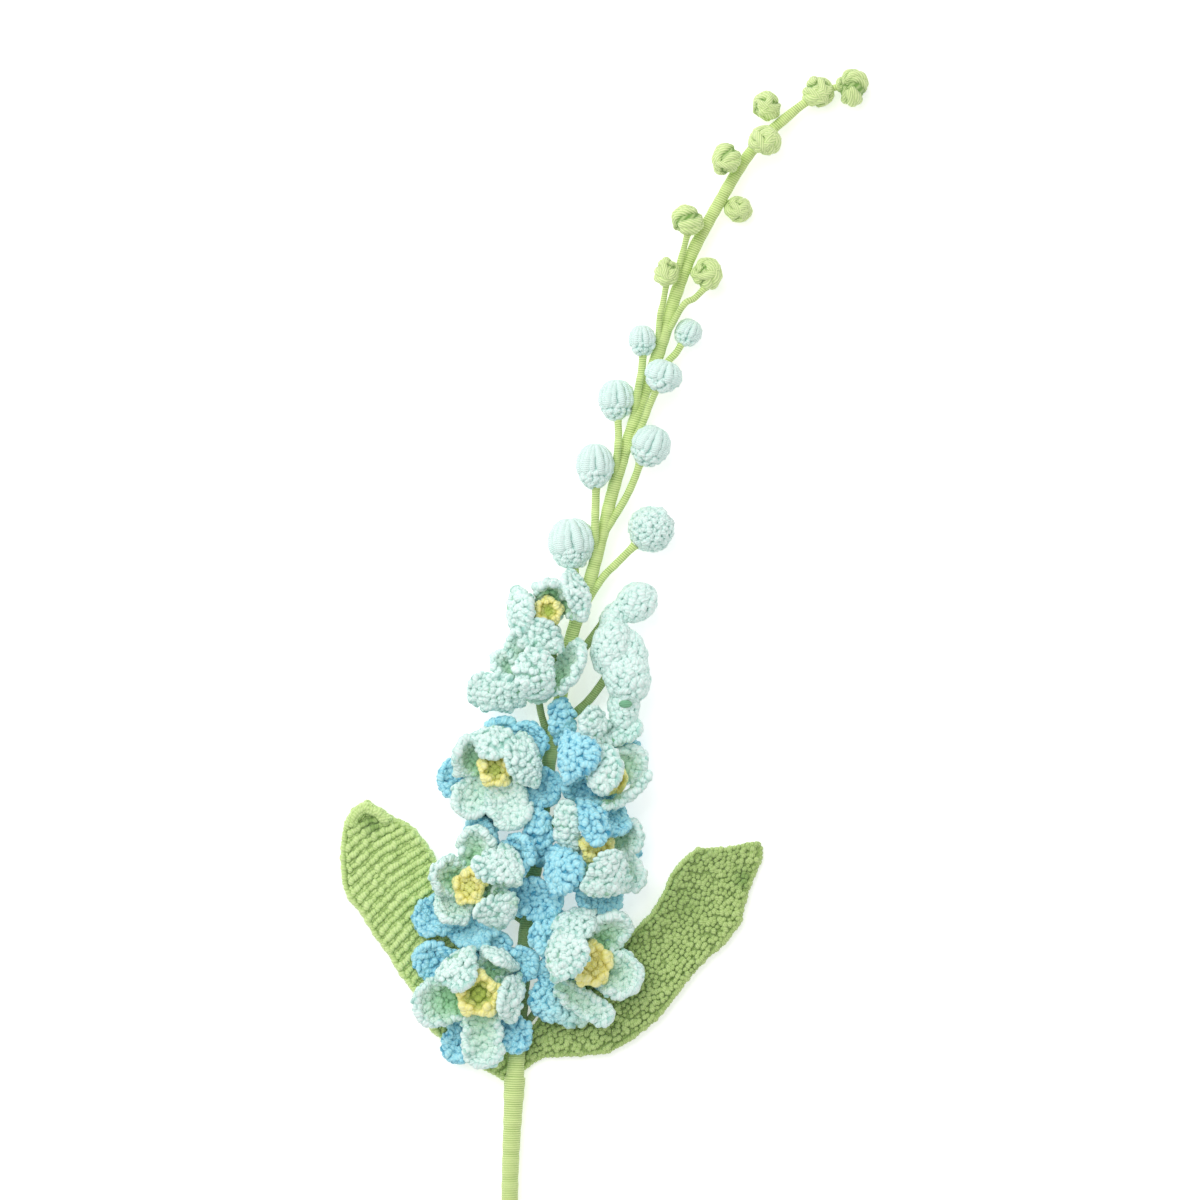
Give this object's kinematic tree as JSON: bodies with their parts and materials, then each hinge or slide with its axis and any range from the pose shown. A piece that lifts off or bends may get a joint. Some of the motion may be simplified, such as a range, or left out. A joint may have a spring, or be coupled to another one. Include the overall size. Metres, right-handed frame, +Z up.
{
  "type": "crocheted delphinium flower spike",
  "caption": "Long crocheted delphinium spike laid flat: curved wrapped stem, green and mint buds, mint flowers with blue sepals and yellow centres, two leaves.",
  "frame": {"origin": "middle of the bounding box, on the table's surface that the spike lies on", "axes": "+X to the picture's right, +Y along the spike from the cut stem to the tip, +Z up from the table, which is the way the open flowers face"},
  "size_m": [0.2524, 0.6058, 0.0406],
  "materials": {
    "stem_yarn": "wound yarn",
    "leaf_yarn": "crocheted yarn",
    "green_bud_yarn": "crocheted yarn",
    "mint_yarn": "crocheted yarn",
    "blue_yarn": "crocheted yarn",
    "yellow_yarn": "crocheted yarn",
    "wire_steel": "drawn wire"
  },
  "bodies": {
    "root": {"stem_wrap": "stem_yarn", "stem_wire": "wire_steel", "leaf_left": "leaf_yarn", "leaf_right": "leaf_yarn", "green_bud_1": "green_bud_yarn", "green_bud_2": "green_bud_yarn", "green_bud_3": "green_bud_yarn", "green_bud_4": "green_bud_yarn", "green_bud_5": "green_bud_yarn", "green_bud_6": "green_bud_yarn", "green_bud_7": "green_bud_yarn", "green_bud_8": "green_bud_yarn", "green_bud_9": "green_bud_yarn", "green_bud_7_pedicel": "stem_yarn", "green_bud_8_pedicel": "stem_yarn", "green_bud_9_pedicel": "stem_yarn", "mint_bud_1": "mint_yarn", "mint_bud_1_pedicel": "stem_yarn", "mint_bud_2": "mint_yarn", "mint_bud_2_pedicel": "stem_yarn", "mint_bud_3": "mint_yarn", "mint_bud_3_pedicel": "stem_yarn", "mint_bud_4": "mint_yarn", "mint_bud_4_pedicel": "stem_yarn", "mint_bud_5": "mint_yarn", "mint_bud_5_pedicel": "stem_yarn", "mint_bud_6": "mint_yarn", "mint_bud_6_pedicel": "stem_yarn", "mint_bud_7": "mint_yarn", "mint_bud_7_pedicel": "stem_yarn", "mint_bud_8": "mint_yarn", "mint_bud_8_pedicel": "stem_yarn", "flower_c": "mint_yarn", "flower_c_pedicel": "stem_yarn", "flower_d": "mint_yarn", "flower_d_pedicel": "stem_yarn", "flower_a_petals": "mint_yarn", "flower_a_centre": "yellow_yarn", "flower_b_petals": "mint_yarn", "flower_b_centre": "yellow_yarn", "flower_e_petals": "mint_yarn", "flower_e_sepals": "blue_yarn", "flower_e_centre": "yellow_yarn", "flower_f_petals": "mint_yarn", "flower_f_sepals": "blue_yarn", "flower_f_centre": "yellow_yarn", "flower_g_petals": "mint_yarn", "flower_g_sepals": "blue_yarn", "flower_g_centre": "yellow_yarn", "flower_h_petals": "mint_yarn", "flower_h_sepals": "blue_yarn", "flower_h_centre": "yellow_yarn", "flower_i_petals": "mint_yarn", "flower_i_sepals": "blue_yarn", "flower_i_centre": "yellow_yarn", "flower_j_petals": "mint_yarn", "flower_j_sepals": "blue_yarn", "flower_j_centre": "yellow_yarn"}
  },
  "joints": []
}
